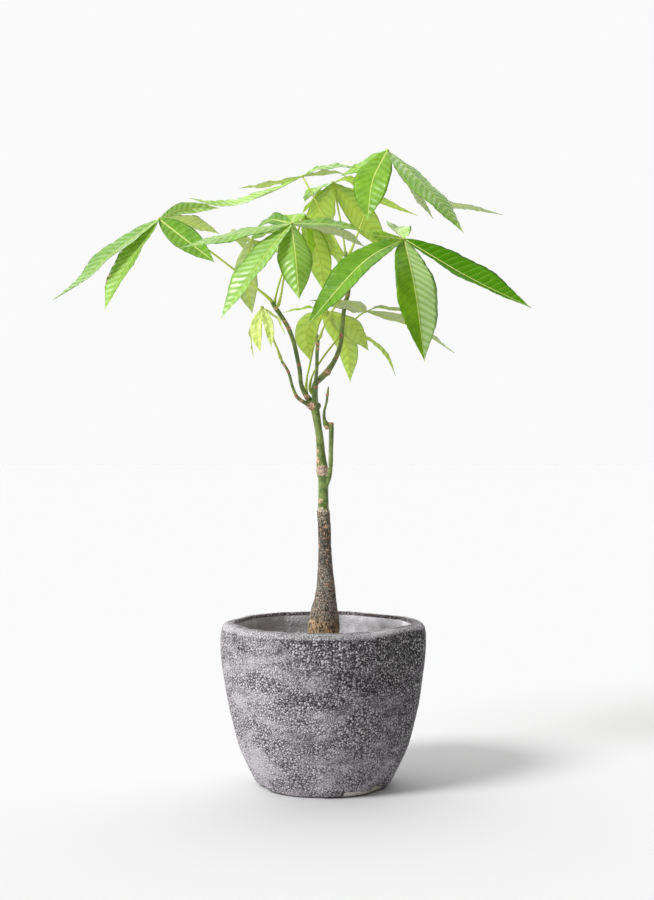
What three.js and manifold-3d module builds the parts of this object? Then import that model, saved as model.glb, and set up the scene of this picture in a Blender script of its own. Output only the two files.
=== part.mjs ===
// A potted money tree: a single flared trunk with three leafy branches, a cut-back stem and a low
// twig, standing in a hand-hewn round stone-look planter.
// Millimetres. The origin is the centre of the planter's underside, +X is to the right of the
// picture, +Y away from the viewer and +Z up.
import * as THREE from "three";
import { mergeVertices } from "three/addons/utils/BufferGeometryUtils.js";
import Module from "manifold-3d";

const wasm = await Module();
wasm.setup();

// Driving dimensions
const GAP = 0.3; // clearance between touching pieces
const POT_HEIGHT = 205;
const POT_LIP_RADIUS = 126.5;
const POT_FLOOR = 16;
const POT_SEGMENTS = 48;
const POT_SWELL = 0.45; // height of the shallow swells on its wall
const UNHEWN_RADIUS = 40; // the middle of the underside that the hewing leaves alone
const HEWN_RADIUS = 80; // from here outwards the hewing has its whole depth
const SOIL_CLEAR_HEIGHT = 163; // the inner wall above this isn't followed by the soil
const TRUNK_FOOT_RADIUS = 20;
const TRUNK_FOOT_HEIGHT = 120;
const BLADE_THICKNESS = 0.8;
const BLADE_ROOT_THICKNESS = 2.4;
const BLADE_ROWS = 8;
const BLADE_ROOT_HALF = 1.2; // half width where a blade leaves the hub
const BLADE_TIP_HALF = 0.5;
const BLADE_FOLD = 0.2; // rise of a blade's edge over its half width
const BLADE_WAVE = 1.3; // height of the waves along a blade's edge
const BLADE_WAVES = 2.5; // how many waves run along an edge
const BLADE_WAVE_SHIFT = 1.9; // from one leaflet to the next, in radians
const WAVED_HALF = 4; // a blade is straight where its half width is less
const HUB_RADIUS = 3.4; // the knob where the leaflets meet
const PETIOLE_SIDES = 6;
const PETIOLE_STEPS = 2; // rings from one point of its route to the next
const PETIOLE_ROOT = 2.3;
const PETIOLE_RADIUS = 1.35;
const FOOT_SIDES = 24;
const TRUNK_SIDES = 14;
const BRANCH_SIDES = 8;
const KNOB_SIDES = 10;
const KNOB_RINGS = 7;
const HUB_SIDES = 7;
const HUB_RINGS = 5;
const SAME_POINT = 0.001; // corners closer than this are one corner

// Outer outline of the planter, from the underside up to the crest of the soft lip
const POT_OUTLINE = [
  [0, 0],
  [76, 0],
  [82.5, 1.6],
  [87, 6.4],
  [91, 14],
  [97.6, 27],
  [106, 46],
  [112.2, 67.6],
  [118, 91.5],
  [121, 104.2],
  [125.6, 131],
  [128.6, 152],
  [130.3, 172],
  [130.3, 184],
  [129.4, 194],
  [127.6, 200],
  [124.6, 203.2],
  [120, 204.7],
  [115, POT_HEIGHT],
];

// Inner wall from the lip down to the inside corner, with its share of the hewing last
const POT_INSIDE = [
  [112, 203.6, 1],
  [111, 198, 1],
  [111.8, 184, 0.5],
  [112.2, 171, 0],
  [112.5, 150, 0],
  [104, 90, 0],
  [84, 34, 0],
  [70, POT_FLOOR, 0],
];

// Top of the soil, from the planter's wall to the middle
const SOIL_TOP = [
  [111.4, 166],
  [96, 168],
  [60, 169.5],
  [36, 169],
  [0, 169],
];

// Flats left by the hewing: direction in degrees from +X and depth at the lip and at the foot
const POT_FLATS = [
  { azimuth: -38, lip: 10, foot: 3 },
  { azimuth: 50, lip: 8, foot: 3 },
  { azimuth: 105, lip: 3, foot: 2 },
  { azimuth: 158, lip: 3.5, foot: 2 },
  { azimuth: -155, lip: 2.5, foot: 3 },
  { azimuth: -100, lip: 2, foot: 2 },
];

// Shallow swells round the planter's wall: how many, and the climb in mm that turns them a radian
const POT_SWELLS = [
  { count: 3, climb: 31 },
  { count: 7, climb: -23 },
];

// Trunk, branches and shoots: [x, y, z, radius] along each one's middle, root first
const TRUNK = [
  [0.2, 0, 158, TRUNK_FOOT_RADIUS - 0.2],
  [0.2, 0, 170, TRUNK_FOOT_RADIUS],
  [0, 0, 176, 20.5],
  [0, 0, 190, 20.4],
  [0.4, 0, 201, 20.4],
  [0.9, 0, 211, 18.9],
  [1.2, 0, 220, 16.8],
  [2.3, 0, 233, 13.8],
  [2.8, 0, 248, 11.8],
  [2.4, 0, 263, 10.4],
  [2.2, 0, 278, 9],
  [1.7, 0, 300, 8],
  [1, 0, 326, 8.1],
  [-0.2, 0, 345, 8],
  [-0.2, 0, 351, 6.8],
  [-0.2, 0, 370, 6.5],
  [-0.2, 0, 386, 6.6],
  [-1.2, 0, 393, 7.8],
  [-1.6, 0, 400, 7.6],
  [-2.3, 0, 406, 6.8],
  [-3.2, 0, 418, 5.6],
  [-4.8, 0, 438, 4.9],
  [-7, 0, 452, 4.9],
  [-9.4, 0, 467, 5.4],
  [-11.5, 0, 478, 5.6],
];
const LIMBS = {
  cut_stem: [
    [2, -3, 372, 2.4],
    [7.2, -5, 386, 2.6],
    [8.9, -6, 398, 2.7],
    [9.2, -7, 409, 3.1],
    [9.5, -7, 424, 3],
    [9.9, -7, 444, 3.3],
    [10.1, -7, 457, 3.1],
  ],
  knob_shoot: [
    [6, -7, 449, 3.4],
    [3, -7.5, 455, 3.8],
    [1, -8, 461, 2.4],
    [1, -8, 471, 1.9],
    [4, -9, 483, 1.7],
    [5, -10, 492, 2],
    [6.5, -11, 503, 0.8],
  ],
  left_branch: [
    [-13, 0, 476, 5.4],
    [-17, -1, 484, 4.4],
    [-22, -3, 491, 3.6],
    [-28, -5, 504, 2.9],
    [-30, -9, 523, 2.9],
    [-33, -12, 538, 2.8],
    [-37, -16, 556, 2.9],
    [-44, -20, 575, 3],
    [-53, -24, 590, 2.9],
    [-60, -26, 600, 3.1],
    [-65, -28, 608, 2.3],
    [-67, -28, 613, 1],
  ],
  right_branch: [
    [-10, 1, 474, 5],
    [-11, 5, 487, 4.2],
    [-11, 8, 500, 4.1],
    [-10, 8, 507, 4],
    [-4, 8, 513, 4.1],
    [4, 8, 521, 4.2],
    [14, 8, 536, 3.3],
    [21, 7, 554, 3.1],
    [24, 6, 580, 2.9],
    [27, 5, 606, 2.9],
    [31, 5, 620, 3],
    [32, 5, 641, 2.8],
    [30, 5, 660, 2.9],
    [29, 5, 670, 2.6],
    [29, 5, 675, 1],
  ],
  centre_branch: [
    [-11, -2, 476, 4.6],
    [-11.5, -9, 486, 3.2],
    [-11, -12, 498, 2.5],
    [-8.5, -14, 524, 2.4],
    [-8, -15, 546, 2.4],
    [-7, -16, 561, 2.6],
    [-7.5, -16, 568, 1],
  ],
  low_twig: [
    [-15, -3, 477, 3.6],
    [-22, -8, 481, 2.7],
    [-29, -12, 485, 2.5],
    [-34, -15, 490, 2.4],
    [-39, -18, 502, 2],
    [-44, -22, 520, 2],
    [-52, -25, 533, 1.9],
    [-54, -26, 538, 1],
  ],
};
const SCAR_KNOBS = [
  { at: [-14.5, -1.5, 478], radius: 6 },
  { at: [-7.5, -2, 478], radius: 4.6 },
  { at: [5, 7, 521], radius: 4.8 },
  { at: [-7, 3, 511], radius: 3.2 },
];

// The leaves. A petiole runs from the middle of the branch that carries it to the hub. Each
// leaflet's route goes on from the hub to the tip; width is across the blade, roll in degrees
// lifts its right-hand edge, seen from the hub, and twist adds to the roll towards the tip.
const LEAVES = {
  leaf_far_left: {
    petiole: [
      [-62, -27, 603],
      [-66, -29, 609],
      [-88, -25, 628],
      [-143, -16, 672],
      [-207, -10, 713],
    ],
    leaflets: [
      { route: [[-268, -25, 664], [-300, -40, 630], [-334, -50, 607]], width: 47, roll: 23, twist: -18 },
      { route: [[-241, -45, 650], [-267, -70, 593]], width: 53, roll: -4, fold: 0.29 },
      { route: [[-170, -40, 682], [-132, -65, 651]], width: 31, roll: -60, fold: 0.46 },
      { route: [[-175, 25, 714], [-135, 45, 703]], width: 33, roll: 14 },
      { route: [[-182, 30, 732], [-136, 60, 739]], width: 16, roll: -72, fold: 0.46 },
    ],
  },
  leaf_upper_left: {
    petiole: [[29, 5, 668], [25, 6, 671], [12, 8, 695], [2, 11, 717], [-27, 20, 773]],
    leaflets: [
      { route: [[-72, 45, 767], [-111, 60, 765]], width: 27, roll: 0, fold: 0 },
      { route: [[-78, 5, 745], [-130, -10, 730], [-169, -15, 739]], width: 35, roll: 11, twist: 28 },
      { route: [[-8, 18, 782], [22, 20, 786], [43, 26, 786]], width: 23, roll: -26, fold: 0.04 },
      { route: [[2, 8, 773], [21, -5, 772], [31, -10, 764]], width: 26, roll: 0 },
    ],
  },
  leaf_top_right: {
    petiole: [
      [29.5, 5, 666],
      [33, 2, 671],
      [43, -2, 695],
      [51, 2, 716],
      [66, 15, 754],
      [82, 25, 807],
    ],
    leaflets: [
      { route: [[62, -5, 762], [55, -30, 708]], width: 46, roll: 12, fold: 0.09 },
      { route: [[53, 46, 794], [22, 66, 782]], width: 29, roll: 46, fold: 0.01 },
      { route: [[120, -5, 764], [154, -20, 724], [175, -30, 692]], width: 51, roll: -13, fold: -0.1 },
      { route: [[112, 45, 774], [144, 60, 724]], width: 36, roll: -13, fold: -0.13 },
      { route: [[138, 50, 752], [191, 75, 743], [239, 90, 735]], width: 30, roll: 5, fold: -0.07 },
    ],
  },
  leaf_back_centre: {
    petiole: [
      [30, 5, 657],
      [29, 10, 663],
      [27, 20, 683],
      [21, 40, 723],
      [15, 56, 758],
      [12, 60, 772],
    ],
    leaflets: [
      { route: [[-12, 48, 760], [-25, 38, 743]], width: 36, roll: 6, fold: 0.04 },
      { route: [[-14, 75, 748], [-29, 90, 737]], width: 21, roll: 9, fold: 0.13 },
      { route: [[-8, 90, 740], [-6, 125, 694]], width: 46, roll: 17, fold: -0.34 },
      { route: [[44, 95, 742], [87, 115, 689]], width: 35, roll: 59, fold: -0.48 },
      { route: [[35, 80, 764], [82, 95, 749]], width: 26, roll: -5 },
      { route: [[34, 100, 782], [77, 122, 758], [129, 140, 742]], width: 16, roll: 19, fold: 0.39 },
    ],
  },
  leaf_front_centre: {
    petiole: [
      [-59, -26, 599],
      [-56, -31, 603],
      [-52, -42, 616],
      [-50, -48, 627],
      [-42, -65, 666],
      [-39, -75, 697],
    ],
    leaflets: [
      { route: [[-66, -45, 706], [-86, -25, 698]], width: 21, roll: 47 },
      { route: [[-104, -82, 684], [-174, -90, 665]], width: 43, roll: 23, fold: -0.07 },
      { route: [[-72, -110, 650], [-121, -130, 576]], width: 46, roll: 12, fold: 0.29 },
      { route: [[-33, -118, 653], [-28, -135, 598]], width: 42, roll: -5, fold: -0.43 },
      { route: [[16, -72, 696], [52, -60, 689]], width: 35, roll: -26, fold: 0.11 },
      { route: [[14, -50, 694], [53, -20, 676]], width: 30, roll: 4, fold: -0.12 },
      { route: [[-36, -45, 710], [-29, -18, 719]], width: 30, roll: 0, fold: 0.1 },
    ],
  },
  leaf_front_right: {
    petiole: [
      [-7, -16, 560],
      [-4, -21, 564],
      [-1, -25, 572],
      [13, -34, 598],
      [45, -50, 638],
      [75, -62, 667],
      [98, -70, 679],
    ],
    leaflets: [
      { route: [[50, -105, 648], [-21, -125, 567]], width: 41, roll: 36, fold: 0.28 },
      { route: [[108, -112, 618], [120, -120, 526]], width: 57, roll: 5, fold: 0.14 },
      { route: [[177, -90, 629], [248, -110, 591]], width: 44, roll: -36, fold: 0.44 },
      { route: [[92, -30, 694], [96, 15, 708]], width: 32, roll: -12, fold: 0.55 },
      { route: [[62, -100, 679], [49, -125, 680]], width: 12, roll: 75 },
    ],
  },
  leaf_inner: {
    petiole: [
      [-60, -26, 601],
      [-61, -22, 607],
      [-60, -19, 614],
      [-54, -8, 639],
      [-39, 5, 683],
      [-25, 15, 722],
    ],
    leaflets: [
      { route: [[-6, 28, 672], [2, 32, 624]], width: 32, roll: 61, fold: 0.44 },
      { route: [[9, 31, 690], [28, 31, 653]], width: 27, roll: 19, fold: -0.09 },
      { route: [[-21, -2, 690], [-18, -10, 659]], width: 26, roll: 40 },
      { route: [[-48, 5, 692], [-71, -5, 661]], width: 15, roll: 10 },
    ],
  },
  leaf_right_back: {
    petiole: [
      [-11, 5, 488],
      [-17, 8, 499],
      [-15, 13, 515],
      [-5, 18, 534],
      [17, 30, 564],
      [34, 46, 584],
      [45, 50, 596],
      [55, 52, 603],
    ],
    leaflets: [
      { route: [[29, -14, 608], [-18, -20, 610]], width: 21, roll: -26, fold: -0.4 },
      { route: [[115, 58, 584], [172, 60, 549]], width: 40, roll: 16, twist: -37 },
      { route: [[78, 82, 611], [140, 100, 599]], width: 9, roll: 22 },
    ],
  },
  leaf_low_centre: {
    petiole: [
      [-17, -1, 485],
      [-22, 4, 497],
      [-21, 6, 514],
      [-18, 8, 528],
      [-12, 12, 557],
      [-2, 18, 595],
      [4, 20, 600],
    ],
    leaflets: [
      { route: [[42, 24, 576], [58, 22, 549]], width: 31, roll: 50, fold: -0.29 },
      { route: [[12, 45, 584], [30, 58, 560], [35, 60, 510]], width: 29, roll: 27 },
      { route: [[-21, 38, 577], [-17, 46, 537]], width: 29, roll: -24, fold: 0.45 },
      { route: [[28, 60, 582], [78, 78, 556], [96, 84, 520]], width: 21, roll: -8, fold: -0.04 },
      { route: [[-20, 35, 606], [-53, 40, 600]], width: 8, roll: -13, fold: 0.08 },
    ],
  },
  leaf_behind_left: {
    petiole: [
      [31.5, 5, 640],
      [26, 9, 643],
      [10, 14, 651],
      [-13, 18, 661],
      [-60, 22, 677],
      [-92, 10, 690],
    ],
    leaflets: [
      { route: [[-111, 35, 695], [-104, 60, 684]], width: 26, roll: -31, fold: 0.35 },
      { route: [[-72, 30, 702], [-48, 45, 707]], width: 24, roll: -15 },
      { route: [[-100, 25, 644], [-92, 35, 598]], width: 32, roll: -13, fold: -0.06 },
      { route: [[-77, 25, 679], [-59, 40, 679]], width: 22, roll: 10 },
    ],
  },
  leaf_young: {
    petiole: [
      [-51, -25, 532],
      [-54, -27, 538],
      [-57, -28, 547],
      [-62, -30, 559],
      [-69, -32, 581],
      [-76, -35, 599],
    ],
    leaflets: [
      { route: [[-90, -27, 574], [-88, -24, 538]], width: 10, roll: 40 },
      { route: [[-83, -42, 572], [-78, -46, 543]], width: 15, roll: 0 },
      { route: [[-68, -45, 578], [-64, -48, 548]], width: 12, roll: -43, fold: 0.35 },
      { route: [[-58, -35, 586], [-47, -38, 565]], width: 8, roll: 25 },
    ],
  },
};

const MATERIALS = {
  stone: new THREE.MeshStandardMaterial({ color: 0x8a888a, roughness: 0.95, metalness: 0 }),
  soil: new THREE.MeshStandardMaterial({ color: 0x4a3b2e, roughness: 1, metalness: 0 }),
  bark: new THREE.MeshStandardMaterial({ color: 0x6f7a55, roughness: 0.85, metalness: 0 }),
  leaf: new THREE.MeshStandardMaterial({ color: 0x6fb03a, roughness: 0.45, metalness: 0 }),
  youngLeaf: new THREE.MeshStandardMaterial({ color: 0xb4d64a, roughness: 0.5, metalness: 0 }),
};

function solidFrom(geometry) {
  const bare = geometry.clone();
  bare.deleteAttribute("normal");
  bare.deleteAttribute("uv");
  const merged = mergeVertices(bare, SAME_POINT);
  return new wasm.Manifold(
    new wasm.Mesh({
      numProp: 3,
      vertProperties: new Float32Array(merged.attributes.position.array),
      triVerts: new Uint32Array(merged.index.array),
    }),
  );
}

function geometryFrom(solid) {
  const mesh = solid.getMesh();
  const geometry = new THREE.BufferGeometry();
  geometry.setAttribute("position", new THREE.BufferAttribute(mesh.vertProperties, 3));
  geometry.setIndex(new THREE.BufferAttribute(mesh.triVerts, 1));
  geometry.computeVertexNormals();
  return geometry;
}

function largestBody(solid) {
  const bodies = solid.decompose();
  return bodies.reduce((best, body) => (body.volume() > best.volume() ? body : best));
}

function closedGeometry(points, indices) {
  const geometry = new THREE.BufferGeometry();
  geometry.setFromPoints(points);
  geometry.setIndex(indices);
  return geometry;
}

// A round limb of changing thickness: rings square to its route, with a flat face at each end
function limbGeometry(stations, sides, stepsPerSpan, swell = 0) {
  const middle = new THREE.CatmullRomCurve3(stations.map(([x, y, z]) => new THREE.Vector3(x, y, z)));
  const steps = (stations.length - 1) * stepsPerSpan;
  const points = [];
  const indices = [];
  const across = new THREE.Vector3(1, 0, 0);
  for (let step = 0; step <= steps; step += 1) {
    const along = step / steps;
    const span = Math.min(Math.floor(along * (stations.length - 1)), stations.length - 2);
    const part = along * (stations.length - 1) - span;
    const radius = THREE.MathUtils.lerp(stations[span][3], stations[span + 1][3], part) + swell;
    const tangent = middle.getTangent(along);
    across.addScaledVector(tangent, -across.dot(tangent)).normalize();
    const other = new THREE.Vector3().crossVectors(tangent, across);
    const centre = middle.getPoint(along).addScaledVector(tangent, step === steps ? swell : 0);
    for (let side = 0; side < sides; side += 1) {
      const angle = (side / sides) * 2 * Math.PI;
      points.push(
        centre
          .clone()
          .addScaledVector(across, Math.cos(angle) * radius)
          .addScaledVector(other, Math.sin(angle) * radius),
      );
    }
  }
  for (let step = 0; step < steps; step += 1) {
    for (let side = 0; side < sides; side += 1) {
      const next = (side + 1) % sides;
      const a = step * sides + side;
      const b = step * sides + next;
      indices.push(a, b, b + sides, a, b + sides, a + sides);
    }
  }
  for (let side = 1; side < sides - 1; side += 1) {
    const top = steps * sides;
    indices.push(0, side + 1, side);
    indices.push(top, top + side, top + side + 1);
  }
  return closedGeometry(points, indices);
}

// How far the hewing has moved the planter's wall in or out at one direction and height
function hewn(azimuth, height) {
  const rise = THREE.MathUtils.clamp(height / POT_HEIGHT, 0, 1);
  let offset = 0;
  for (const flat of POT_FLATS) {
    const depth = THREE.MathUtils.lerp(flat.foot, flat.lip, rise * rise);
    const turn = azimuth - THREE.MathUtils.degToRad(flat.azimuth);
    const level = POT_LIP_RADIUS - depth;
    if (Math.cos(turn) > level / POT_LIP_RADIUS) {
      offset = Math.min(offset, level / Math.cos(turn) - POT_LIP_RADIUS);
    }
  }
  let swell = 0;
  for (const { count, climb } of POT_SWELLS) {
    swell += POT_SWELL * Math.sin(count * azimuth + height / climb);
  }
  return offset + swell * Math.sin(Math.PI * rise);
}

function lathed(outline) {
  const profile = outline.map(([radius, height]) => new THREE.Vector2(radius, height));
  return new THREE.LatheGeometry(profile, POT_SEGMENTS).rotateX(Math.PI / 2);
}

function potGeometry() {
  const outline = [...POT_OUTLINE, ...POT_INSIDE, [0, POT_FLOOR]];
  const geometry = lathed(outline);
  const position = geometry.attributes.position;
  for (let i = 0; i < position.count; i += 1) {
    const [radius, height, share = 1] = outline[i % outline.length];
    const x = position.getX(i);
    const y = position.getY(i);
    const reach = share * THREE.MathUtils.smoothstep(radius, UNHEWN_RADIUS, HEWN_RADIUS);
    const scale = radius ? 1 + (hewn(Math.atan2(y, x), height) * reach) / radius : 1;
    position.setXY(i, x * scale, y * scale);
  }
  return geometry;
}

function soilSolid() {
  const wall = POT_INSIDE.filter(([, height]) => height < SOIL_CLEAR_HEIGHT)
    .map(([radius, height]) => [radius - 2 * GAP, height + GAP])
    .reverse();
  const filling = solidFrom(lathed([[0, POT_FLOOR + GAP], ...wall, ...SOIL_TOP]));
  const depth = POT_HEIGHT - TRUNK_FOOT_HEIGHT;
  const radius = TRUNK_FOOT_RADIUS + 2 * GAP;
  const hole = new THREE.CylinderGeometry(radius, radius, depth, FOOT_SIDES);
  hole.rotateX(Math.PI / 2).translate(TRUNK[0][0], TRUNK[0][1], TRUNK_FOOT_HEIGHT - GAP + depth / 2);
  return filling.subtract(solidFrom(hole));
}

// The whole grown tree, or, with a swell, the room that it needs among the leaves
function treeSolid(swell) {
  const radius = TRUNK_FOOT_RADIUS;
  const height = TRUNK[0][2] + 1 - TRUNK_FOOT_HEIGHT;
  const foot = new THREE.CylinderGeometry(radius, radius, height, FOOT_SIDES);
  foot.rotateX(Math.PI / 2).translate(TRUNK[0][0], TRUNK[0][1], TRUNK_FOOT_HEIGHT + height / 2);
  let solid = solidFrom(limbGeometry(TRUNK, TRUNK_SIDES, 1, swell)).add(solidFrom(foot));
  for (const stations of Object.values(LIMBS)) {
    solid = solid.add(solidFrom(limbGeometry(stations, BRANCH_SIDES, 1, swell)));
  }
  for (const knob of SCAR_KNOBS) {
    const ball = new THREE.SphereGeometry(knob.radius + swell, KNOB_SIDES, KNOB_RINGS);
    solid = solid.add(solidFrom(ball.translate(...knob.at)));
  }
  return solid;
}

// Half width of a leaflet at a share of its length: a lance shape drawn out to a point
function bladeShape(share) {
  return Math.pow(4 * share * (1 - share), 0.75 + 0.6 * share);
}

function bladeGeometry(hub, leaflet, turn) {
  const corners = [hub, ...leaflet.route].map(([x, y, z]) => new THREE.Vector3(x, y, z));
  const midrib = new THREE.CatmullRomCurve3(corners);
  const overall = corners.at(-1).clone().sub(corners[0]).normalize();
  const level = new THREE.Vector3().crossVectors(overall, new THREE.Vector3(0, 0, 1)).normalize();
  const fold = leaflet.fold ?? BLADE_FOLD;
  const faces = [[], []];
  for (let row = 0; row <= BLADE_ROWS; row += 1) {
    const share = row / BLADE_ROWS;
    const tangent = midrib.getTangentAt(share);
    const roll = leaflet.roll + (leaflet.twist ?? 0) * share * share;
    const across = level.clone().applyAxisAngle(overall, -THREE.MathUtils.degToRad(roll));
    across.addScaledVector(tangent, -across.dot(tangent)).normalize();
    const upper = new THREE.Vector3().crossVectors(across, tangent);
    const least = row ? BLADE_TIP_HALF : BLADE_ROOT_HALF;
    const half = Math.max((leaflet.width / 2) * bladeShape(share), least);
    const ripple = Math.sin(2 * Math.PI * BLADE_WAVES * share + turn);
    const wave = BLADE_WAVE * Math.sin(Math.PI * share) * ripple;
    const thickness = row ? BLADE_THICKNESS : BLADE_ROOT_THICKNESS;
    for (const side of [-1, 0, 1]) {
      const edgeRise = half * fold + (half > WAVED_HALF ? wave : 0);
      const point = midrib.getPointAt(share);
      point.addScaledVector(across, side * half);
      point.addScaledVector(upper, side ? edgeRise : 0);
      faces[0].push(point.clone().addScaledVector(upper, thickness / 2));
      faces[1].push(point.addScaledVector(upper, -thickness / 2));
    }
  }
  return closedGeometry([...faces[0], ...faces[1]], bladeIndices(faces[0].length));
}

// Triangles of a blade with three points across: both faces are split alike, then its rim
function bladeIndices(under) {
  const indices = [];
  const quad = (a, b, c, d) => indices.push(a, b, c, a, c, d);
  const last = BLADE_ROWS * 3;
  for (let row = 0; row < BLADE_ROWS; row += 1) {
    const a = row * 3;
    for (const column of [0, 1]) {
      const corner = a + column;
      quad(corner, corner + 1, corner + 4, corner + 3);
      indices.push(under + corner, under + corner + 4, under + corner + 1);
      indices.push(under + corner, under + corner + 3, under + corner + 4);
    }
    quad(a, a + 3, under + a + 3, under + a);
    quad(a + 2, under + a + 2, under + a + 5, a + 5);
  }
  for (const column of [0, 1]) {
    quad(column, under + column, under + column + 1, column + 1);
    quad(last + column, last + column + 1, under + last + column + 1, under + last + column);
  }
  return indices;
}

function petioleStations(route) {
  return route.map((point, index) => {
    const radius = index < 2 ? PETIOLE_ROOT : PETIOLE_RADIUS;
    return [...point, radius];
  });
}

// A compound leaf: petiole, hub and leaflets grown as one, cut clear of the branch that bears it
function leafSolid(leaf, treeRoom) {
  const hub = leaf.petiole.at(-1);
  let solid = solidFrom(limbGeometry(petioleStations(leaf.petiole), PETIOLE_SIDES, PETIOLE_STEPS));
  const knob = new THREE.SphereGeometry(HUB_RADIUS, HUB_SIDES, HUB_RINGS);
  solid = solid.add(solidFrom(knob.translate(...hub)));
  leaf.leaflets.forEach((leaflet, index) => {
    solid = solid.add(solidFrom(bladeGeometry(hub, leaflet, index * BLADE_WAVE_SHIFT)));
  });
  return largestBody(solid.subtract(treeRoom));
}

function named(name, geometry, material) {
  const mesh = new THREE.Mesh(geometry, material);
  mesh.name = name;
  return mesh;
}

const group = new THREE.Group();
group.add(named("pot", potGeometry(), MATERIALS.stone));
group.add(named("soil", geometryFrom(soilSolid()), MATERIALS.soil));
group.add(named("tree", geometryFrom(treeSolid(0)), MATERIALS.bark));
const treeRoom = treeSolid(GAP);
for (const [name, leaf] of Object.entries(LEAVES)) {
  const material = name === "leaf_young" ? MATERIALS.youngLeaf : MATERIALS.leaf;
  group.add(named(name, geometryFrom(leafSolid(leaf, treeRoom)), material));
}

export default group;
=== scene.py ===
"""A potted money tree: a flared trunk with three leafy branches and a low twig in a rough hand-hewn planter.

Shapes are worked in millimetres in the part's own frame and put down in metres.
"""

import math
import random
from bisect import bisect_right

import bmesh
import bpy
from mathutils import Matrix, Quaternion, Vector, noise


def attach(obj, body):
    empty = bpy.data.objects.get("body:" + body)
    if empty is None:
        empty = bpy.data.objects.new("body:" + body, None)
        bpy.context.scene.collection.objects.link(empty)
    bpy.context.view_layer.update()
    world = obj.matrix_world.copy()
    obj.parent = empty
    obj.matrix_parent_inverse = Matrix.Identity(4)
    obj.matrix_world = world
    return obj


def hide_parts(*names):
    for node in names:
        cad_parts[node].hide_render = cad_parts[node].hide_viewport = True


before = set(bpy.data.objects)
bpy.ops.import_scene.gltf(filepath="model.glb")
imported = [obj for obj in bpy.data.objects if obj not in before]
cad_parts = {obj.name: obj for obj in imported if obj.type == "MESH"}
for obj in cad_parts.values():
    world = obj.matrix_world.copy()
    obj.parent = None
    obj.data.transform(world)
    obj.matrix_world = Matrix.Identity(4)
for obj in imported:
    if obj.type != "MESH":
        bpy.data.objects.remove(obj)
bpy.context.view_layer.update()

MM = 0.001
UP = Vector((0, 0, 1))

# Camera: level, and as far off and as high as the photograph's planter shows
CAMERA_PLACE = (0.00444, -1.8, 0.422)
CAMERA_LENS = 56.8
CAMERA_FRAME = 36
CAMERA_SEES_TO = 60

# Studio: a white floor in a white room, with a large window to the left of the camera
ROOM_SEEN = 0.955
ROOM_BRIGHT = 1.0
ROOM_DARK = 0.12
ROOM_BEHIND = 1.3
KEY_TOWARDS = (0.7, 0.51, -0.68)
KEY_SPREAD = 20
KEY_STRENGTH = 2.9
PAPER = 0.648
COOLER = 1.004
FLOOR_HALF = 40

# Planter: outlines are radius and height, the outer one upwards and the inner one downwards
POT_HEIGHT = 205
POT_LIP_RADIUS = 126.5
POT_FLOOR = 16
POT_TURNS = 360
POT_ROWS = 6
POT_OUTLINE = [
    (76, 0), (82.5, 1.6), (87, 6.4), (91, 14), (97.6, 27), (106, 46), (112.2, 67.6), (118, 91.5),
    (121, 104.2), (125.6, 131), (128.6, 152), (130.3, 172), (130.3, 184), (129.4, 194), (127.6, 200),
    (124.6, 203.2), (120, 204.7), (115, POT_HEIGHT),
]
POT_INSIDE = [
    (112, 203.6), (111, 198), (111.8, 184), (112.2, 171), (112.5, 150), (104, 90), (84, 34), (70, POT_FLOOR),
]
# The hewing: each flat's direction in degrees and its depth at the lip and at the foot, then the
# swells as how many go round and how steeply they climb
POT_FLATS = [(-38, 10, 3), (50, 8, 3), (105, 3, 2), (158, 3.5, 2), (-155, 2.5, 3), (-100, 2, 2)]
POT_SWELL = 0.45
POT_SWELLS = [(3, 31), (7, -23)]
UNHEWN_RADIUS = 40
HEWN_RADIUS = 80
HEWN_INSIDE = (172, 198)
# What counts as the lip and as the inside, and how rough the wall is there
LIP_FROM = 201
INSIDE_REACH = 113.5
THINNEST_WALL = 6
ROUGH_COARSE = 0.35
ROUGH_FINE = 0.28
ROUGH_INSIDE = 0.35
HELD_IN = 0.35
HELD_OUT = 0.1
# Marks on the planter: arcs give the degrees where one begins, is whole, is still whole, and ends
CHIPPED_ARC = (-77, -69, -36, -26)
BACK_ARC = (5, 25, 160, 178)
FLAT_ARC = (-64, -60, -2, 8)
CORNER_ARC = (-64, -60, -46, -34)
SHADED_ARC = (-64, -58, 5, 30)
FOOT_BAND = (8.5, 5.5)
FOOT_RADIUS = 74
FOOT_CLEAR = (0.8, 2)
LIP_WORN = (200, 204.5)
# The dark line along the lip's inner edge: rust at the back, painted shade in the crevice at the front
BACK_LINE_FROM = (200.5, 202.5)
FRONT_LINE = (123, 120)
FRONT_LINE_FROM = (202, 203.5)
BACK_LINE = (112.6, 1.7)
# The lip's bands by height: a thin painted shadow line, painted light on the top, and painted shade below it
LIP_SHADOW_LINE = (195.6, 1.1)
LIP_PALE = (196.5, 199)
LIP_SHADE = (196.5, 193)

# Soil
SOIL_WALL = [(69.4, 16.3), (83.4, 34.3), (103.4, 90.3), (111.9, 150.3)]
SOIL_HOLE = 20.6
SOIL_TOP = [(111.4, 166), (96, 168), (60, 169.3), (36, 168.8), (SOIL_HOLE, 168.6)]
SOIL_HOLE_FLOOR = 119.7
SOIL_TURNS = 160
SOIL_ROWS = 14
SOIL_LOWERED = 0.6
SOIL_HIGHEST = 0.9
CRUMBS = 420
CRUMB_SIZES = (0.9, 1.2, 1.5, 2.2, 3.0)
CRUMBS_FROM, CRUMBS_TO = 28, 107
CRUMB_LEVEL, CRUMB_FALL = 168.4, 2.2
SOIL_SEED = 11

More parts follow.
